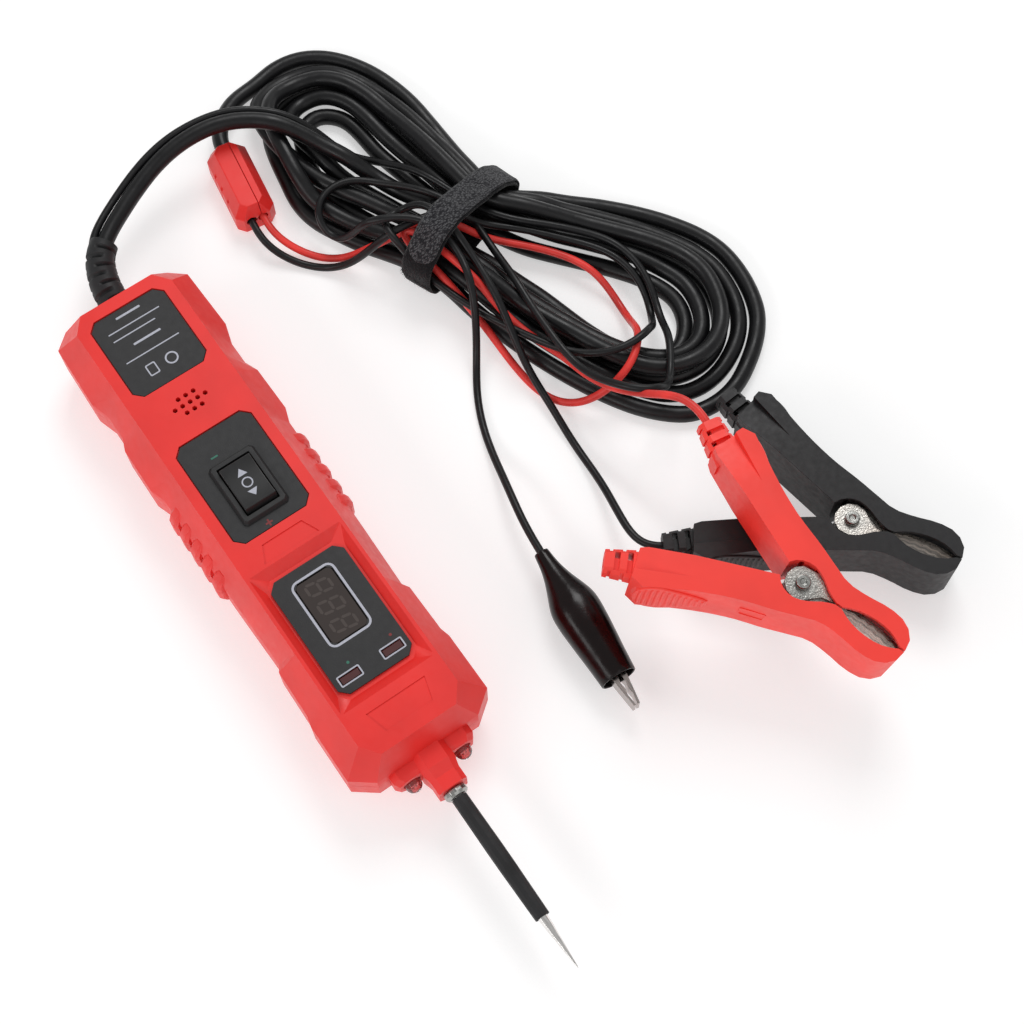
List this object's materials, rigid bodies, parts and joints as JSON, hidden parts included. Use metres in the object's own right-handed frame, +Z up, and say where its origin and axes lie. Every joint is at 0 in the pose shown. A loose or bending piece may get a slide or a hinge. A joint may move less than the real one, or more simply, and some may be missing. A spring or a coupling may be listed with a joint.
{
  "type": "circuit test light",
  "caption": "Handheld vehicle circuit tester: housing with needle probe, rocker switch and voltage display, coiled two-core lead, battery clamps and alligator clip.",
  "frame": {"origin": "centre of the housing's underside, on the plane that everything lies on", "axes": "+X along the housing towards the needle probe, +Z up out of the housing's face, +Y to the probe's left"},
  "size_m": [0.2925, 0.1905, 0.04],
  "materials": {
    "housing_red": "satin",
    "plate_black": "matte",
    "switch_black": "semi-gloss",
    "zinc_steel": "zinc plated, satin",
    "nickel": "nickel plated, polished",
    "display_glass": "dark tinted, glossy",
    "led_red": "translucent, glossy",
    "lamp_clear": "clear, glossy",
    "board_green": "solder mask",
    "sleeve_black": "matte",
    "cable_black": "semi-gloss",
    "wire_red": "semi-gloss",
    "strap_fabric": "hook-and-loop pile",
    "clamp_black": "satin",
    "clamp_red": "satin",
    "boot_black": "glossy vinyl",
    "splice_brass": "plain"
  },
  "bodies": {
    "tester": {"front_cover": "housing_red", "rear_cover": "housing_red", "cover_screw_1": "zinc_steel", "cover_screw_2": "zinc_steel", "cover_screw_3": "zinc_steel", "cover_screw_4": "zinc_steel", "label_plate": "plate_black", "switch_plate": "plate_black", "display_plate": "plate_black", "display_window": "display_glass", "display_module": "plate_black", "positive_led": "led_red", "negative_led": "led_red", "switch_bezel": "switch_black", "circuit_board": "board_green", "buzzer": "plate_black", "headlight_left": "lamp_clear", "headlight_right": "lamp_clear", "probe_collar": "zinc_steel", "probe_needle": "nickel", "probe_sleeve": "sleeve_black", "strain_relief": "cable_black", "main_cable": "cable_black", "junction_shell_left": "housing_red", "junction_shell_right": "housing_red", "splice_positive": "splice_brass", "splice_negative": "splice_brass", "red_wire": "wire_red", "black_wire": "cable_black", "aux_wire": "cable_black", "cable_strap": "strap_fabric", "black_handle_fixed": "clamp_black", "black_jaw_fixed": "zinc_steel", "black_rivet": "zinc_steel", "black_spring": "zinc_steel", "red_handle_fixed": "clamp_red", "red_jaw_fixed": "zinc_steel", "red_rivet": "zinc_steel", "red_spring": "zinc_steel", "clip_boot": "boot_black", "clip_pin": "zinc_steel"},
    "rocker": {"rocker_button": "switch_black"},
    "black_clamp_half": {"black_handle_moving": "clamp_black", "black_jaw_moving": "zinc_steel"},
    "red_clamp_half": {"red_handle_moving": "clamp_red", "red_jaw_moving": "zinc_steel"},
    "clip_left_half": {"clip_jaw_left": "nickel"},
    "clip_right_half": {"clip_jaw_right": "nickel"}
  },
  "joints": [
    {"name": "rocker_tilt", "type": "hinge", "parent": "tester", "child": "rocker", "pos_m": [-0.0063, 0, 0.0293], "axis": [0, 1, 0], "range_deg": [-10, 10], "stiffness_Nm_per_rad": 0.05},
    {"name": "black_clamp_open", "type": "hinge", "parent": "tester", "child": "black_clamp_half", "pos_m": [0.0959, 0.1371, 0.0092], "axis": [0, 0, 1], "range_deg": [0, 28], "stiffness_Nm_per_rad": 0.6, "springref_deg": -17.19},
    {"name": "red_clamp_open", "type": "hinge", "parent": "tester", "child": "red_clamp_half", "pos_m": [0.1063, 0.1073, 0.0283], "axis": [-0.066, -0.0227, -0.9976], "range_deg": [0, 28], "stiffness_Nm_per_rad": 0.6, "springref_deg": -17.19},
    {"name": "clip_open", "type": "hinge", "parent": "tester", "child": "clip_left_half", "pos_m": [0.08367, 0.05752, 0.008], "axis": [0, 0, 1], "range_deg": [0, 8], "stiffness_Nm_per_rad": 0.1, "springref_deg": -11.46},
    {"name": "clip_close_side", "type": "hinge", "parent": "tester", "child": "clip_right_half", "pos_m": [0.08367, 0.05752, 0.008], "axis": [0, 0, -1], "range_deg": [0, 8]}
  ],
  "couplings": [
    {"joint": "clip_close_side", "follows": "clip_open", "ratio": 1}
  ]
}
